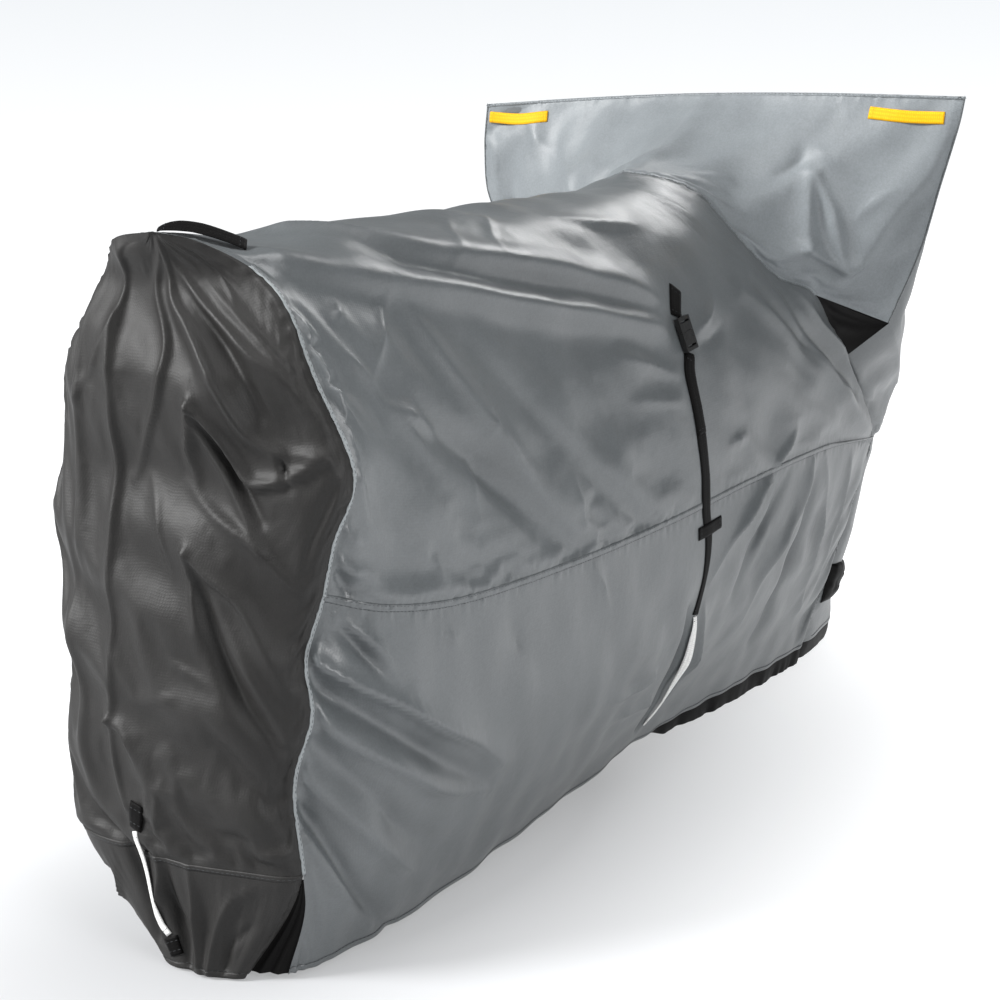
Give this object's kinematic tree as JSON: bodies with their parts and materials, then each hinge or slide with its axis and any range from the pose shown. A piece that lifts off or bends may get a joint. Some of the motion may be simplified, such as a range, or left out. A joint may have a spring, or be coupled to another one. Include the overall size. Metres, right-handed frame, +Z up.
{
  "type": "motorcycle cover",
  "caption": "Fitted cloth cover for a parked motorcycle, draped hollow over body and bar, with a hood, hem, side belt with buckle, and webbing straps.",
  "frame": {"origin": "middle of the cover's footprint, on the floor", "axes": "+X forward to the nose of the cover, +Y to its left, +Z up"},
  "size_m": [2.2253, 1.0088, 1.1639],
  "materials": {
    "grey_cloth": "coated woven polyester, soft satin sheen",
    "pale_cloth": "coated woven polyester, soft satin sheen",
    "charcoal_cloth": "coated woven polyester, soft satin sheen",
    "black_cloth": "plain woven cloth, matt",
    "black_webbing": "woven polypropylene webbing",
    "white_webbing": "woven flat tape",
    "yellow_webbing": "woven flat tape",
    "buckle_plastic": "moulded, matt"
  },
  "bodies": {
    "root": {"rear_skirt": "charcoal_cloth", "rear_panel": "charcoal_cloth", "rear_gusset_right": "black_cloth", "rear_gusset_left": "black_cloth", "upper_panel": "grey_cloth", "lower_panel_right": "grey_cloth", "lower_panel_left": "grey_cloth", "front_panel": "grey_cloth", "hood_back": "pale_cloth", "hood_front": "grey_cloth", "hood_gusset_right": "black_cloth", "hood_gusset_left": "black_cloth", "hem_band": "black_cloth", "belt_end": "black_webbing", "belt": "black_webbing", "belt_tail": "black_webbing", "belt_keeper": "black_webbing", "belt_strap": "white_webbing", "rear_tab_upper": "black_webbing", "rear_strap": "white_webbing", "rear_tab_lower": "black_webbing", "rear_handle": "black_webbing", "grab_tape_left": "yellow_webbing", "grab_tape_right": "yellow_webbing", "front_pouch": "black_cloth", "buckle_plug": "buckle_plastic", "buckle_socket": "buckle_plastic"}
  },
  "joints": []
}
